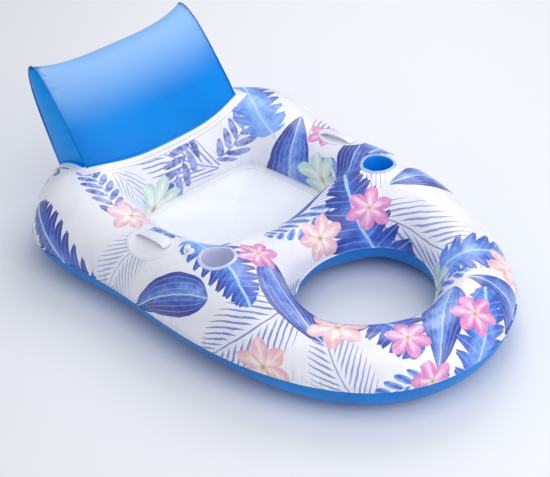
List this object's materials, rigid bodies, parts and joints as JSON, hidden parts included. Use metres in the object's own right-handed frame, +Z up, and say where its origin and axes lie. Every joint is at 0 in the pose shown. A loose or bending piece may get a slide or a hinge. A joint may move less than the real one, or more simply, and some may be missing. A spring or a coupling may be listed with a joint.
{
  "type": "inflatable pool chair",
  "caption": "Inflatable lounge float: a welded vinyl ring with a sling seat, a leg hole, a leaning pillow backrest, cup wells, grips and push-in valves.",
  "frame": {"origin": "on the floor, under the middle of the chair's length and width", "axes": "+Z up, +Y towards the backrest, -Y towards the legs, +X to the sitter's left"},
  "size_m": [0.9428, 1.3873, 0.465],
  "materials": {
    "white_print": "soft-gloss vinyl film, printed",
    "blue_film": "glossy vinyl film",
    "backrest_blue": "glossy vinyl film, dyed through",
    "white_film": "soft-gloss vinyl film",
    "seat_white": "thin matt vinyl sheet",
    "cup_lilac": "vinyl liner",
    "cup_blue": "vinyl liner",
    "clear_white": "milky translucent vinyl",
    "valve_white": "moulded soft vinyl"
  },
  "bodies": {
    "ring": {"ring_top_skin": "white_print", "ring_bottom_skin": "blue_film", "seat_border": "white_film", "seat_sheet": "seat_white", "cup_rim_left": "cup_blue", "cup_wall_left": "cup_blue", "cup_floor_left": "cup_blue", "cup_rim_right": "cup_lilac", "cup_wall_right": "cup_lilac", "cup_floor_right": "cup_lilac", "handle_pad_left": "clear_white", "handle_grip_left": "clear_white", "handle_pad_right": "clear_white", "handle_grip_right": "clear_white", "backrest_base_patch": "white_film", "main_valve_flange": "valve_white"},
    "backrest": {"backrest_cover": "backrest_blue", "backrest_gusset_left": "backrest_blue", "backrest_gusset_right": "backrest_blue", "backrest_base_panel": "backrest_blue", "backrest_valve_flange": "valve_white"},
    "main_valve_stem": {"main_valve_stem": "valve_white", "main_valve_tether": "valve_white"},
    "main_valve_plug": {"main_valve_plug": "valve_white"},
    "main_valve_flap": {"main_valve_flap": "valve_white"},
    "backrest_valve_stem": {"backrest_valve_stem": "valve_white", "backrest_valve_tether": "valve_white"},
    "backrest_valve_plug": {"backrest_valve_plug": "valve_white"},
    "backrest_valve_flap": {"backrest_valve_flap": "valve_white"}
  },
  "joints": [
    {"name": "backrest_lean", "type": "hinge", "parent": "ring", "child": "backrest", "pos_m": [0, 0.5175, 0.24832], "axis": [-1, 0, 0], "range_deg": [0, 5], "stiffness_Nm_per_rad": 100},
    {"name": "main_valve_push", "type": "slide", "parent": "ring", "child": "main_valve_stem", "axis": [-0.1715, 0.0856, 0.9815], "range_m": [-0.01, 0]},
    {"name": "main_valve_plug_pull", "type": "slide", "parent": "main_valve_stem", "child": "main_valve_plug", "axis": [-0.1715, 0.0856, 0.9815], "range_m": [0, 0.012], "deforming": ["main_valve_tether"]},
    {"name": "main_valve_flap_hinge", "type": "hinge", "parent": "main_valve_stem", "child": "main_valve_flap", "pos_m": [-0.30698, -0.02296, 0.21951], "axis": [0, -0.9962, 0.0869], "range_deg": [0, 60], "stiffness_Nm_per_rad": 0.001},
    {"name": "backrest_valve_push", "type": "slide", "parent": "backrest", "child": "backrest_valve_stem", "axis": [0.0512, 0.8995, -0.4339], "range_m": [-0.01, 0]},
    {"name": "backrest_valve_plug_pull", "type": "slide", "parent": "backrest_valve_stem", "child": "backrest_valve_plug", "axis": [0.0512, 0.8995, -0.4339], "range_m": [0, 0.012], "deforming": ["backrest_valve_tether"]},
    {"name": "backrest_valve_flap_hinge", "type": "hinge", "parent": "backrest_valve_stem", "child": "backrest_valve_flap", "pos_m": [0.14338, 0.66066, 0.31152], "axis": [0, -0.4345, -0.9007], "range_deg": [0, 60], "stiffness_Nm_per_rad": 0.001}
  ]
}
